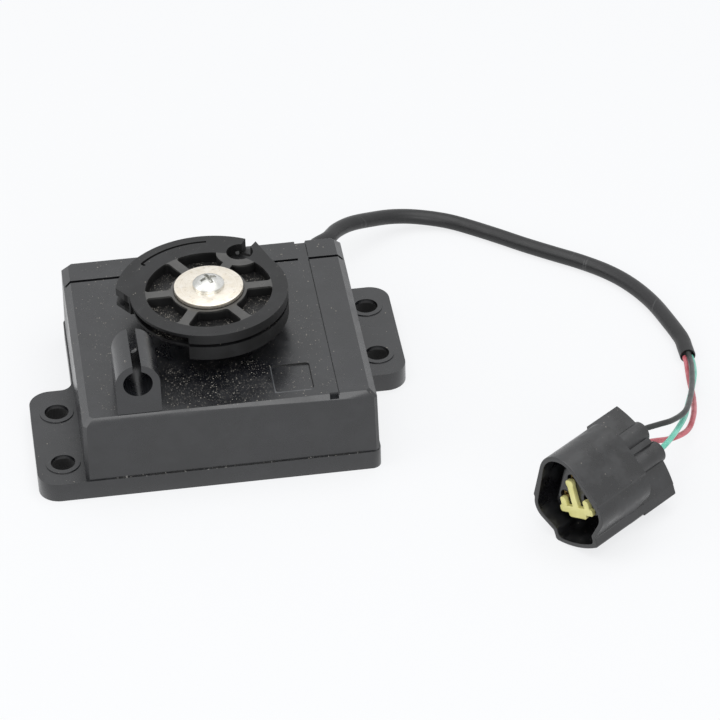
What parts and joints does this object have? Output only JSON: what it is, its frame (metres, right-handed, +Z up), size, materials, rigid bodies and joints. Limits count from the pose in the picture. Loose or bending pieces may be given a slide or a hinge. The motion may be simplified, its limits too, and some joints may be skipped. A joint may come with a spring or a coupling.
{
  "type": "throttle potentiometer",
  "caption": "Potentiometer in a flat eared housing, turned by a sprung cable pulley with a cable stop beside it, on a short lead with a sealed plug.",
  "frame": {"origin": "centre of the base plate's underside", "axes": "+X from the front-left ear towards the rear-right ear, +Y from the cable stop towards the lead's exit, +Z up along the pulley's axis"},
  "size_m": [0.1771, 0.156, 0.0408],
  "materials": {
    "black_plastic": "satin, worn, dusty",
    "plug_plastic": "satin",
    "black_rubber": "matte",
    "zinc_steel": "zinc plated, slightly dull",
    "yellow_zinc": "yellow zinc plated",
    "spring_steel": "plain",
    "brass": "tin dulled",
    "bronze": "sintered",
    "board": "printed tracks",
    "white_plastic": "satin",
    "retainer_plastic": "satin",
    "seal_silicone": "matte",
    "wire_red": "satin",
    "wire_green": "satin",
    "wire_black": "satin"
  },
  "bodies": {
    "housing": {"base_plate": "black_plastic", "base_seal": "black_rubber", "base_screws": "zinc_steel", "housing_cover": "black_plastic", "cable_stop": "black_plastic", "rear_cap": "black_plastic", "shaft_bush": "bronze", "shaft_seal": "black_rubber", "return_spring": "spring_steel", "resistance_board": "board", "terminal_pins": "brass", "inner_leads": "wire_red", "lead_grommet": "black_rubber", "lead_jacket": "black_rubber", "wire_black": "wire_black", "wire_green": "wire_green", "wire_red": "wire_red", "plug_housing": "plug_plastic", "plug_core": "plug_plastic", "plug_body": "plug_plastic", "plug_retainer": "retainer_plastic", "plug_contacts": "brass", "wire_seals": "seal_silicone"},
    "rotor": {"pulley": "black_plastic", "pulley_washer": "yellow_zinc", "pulley_screw": "zinc_steel", "rotor_shaft": "zinc_steel", "thrust_washer": "white_plastic", "retaining_ring": "spring_steel", "wiper_carrier": "white_plastic", "wiper_contacts": "brass"}
  },
  "joints": [
    {"name": "pulley_turn", "type": "hinge", "parent": "housing", "child": "rotor", "pos_m": [-0.0012, -0.001, 0.0241], "axis": [0, 0, 1], "range_deg": [0, 75], "stiffness_Nm_per_rad": 0.05, "springref_deg": -45.84}
  ]
}
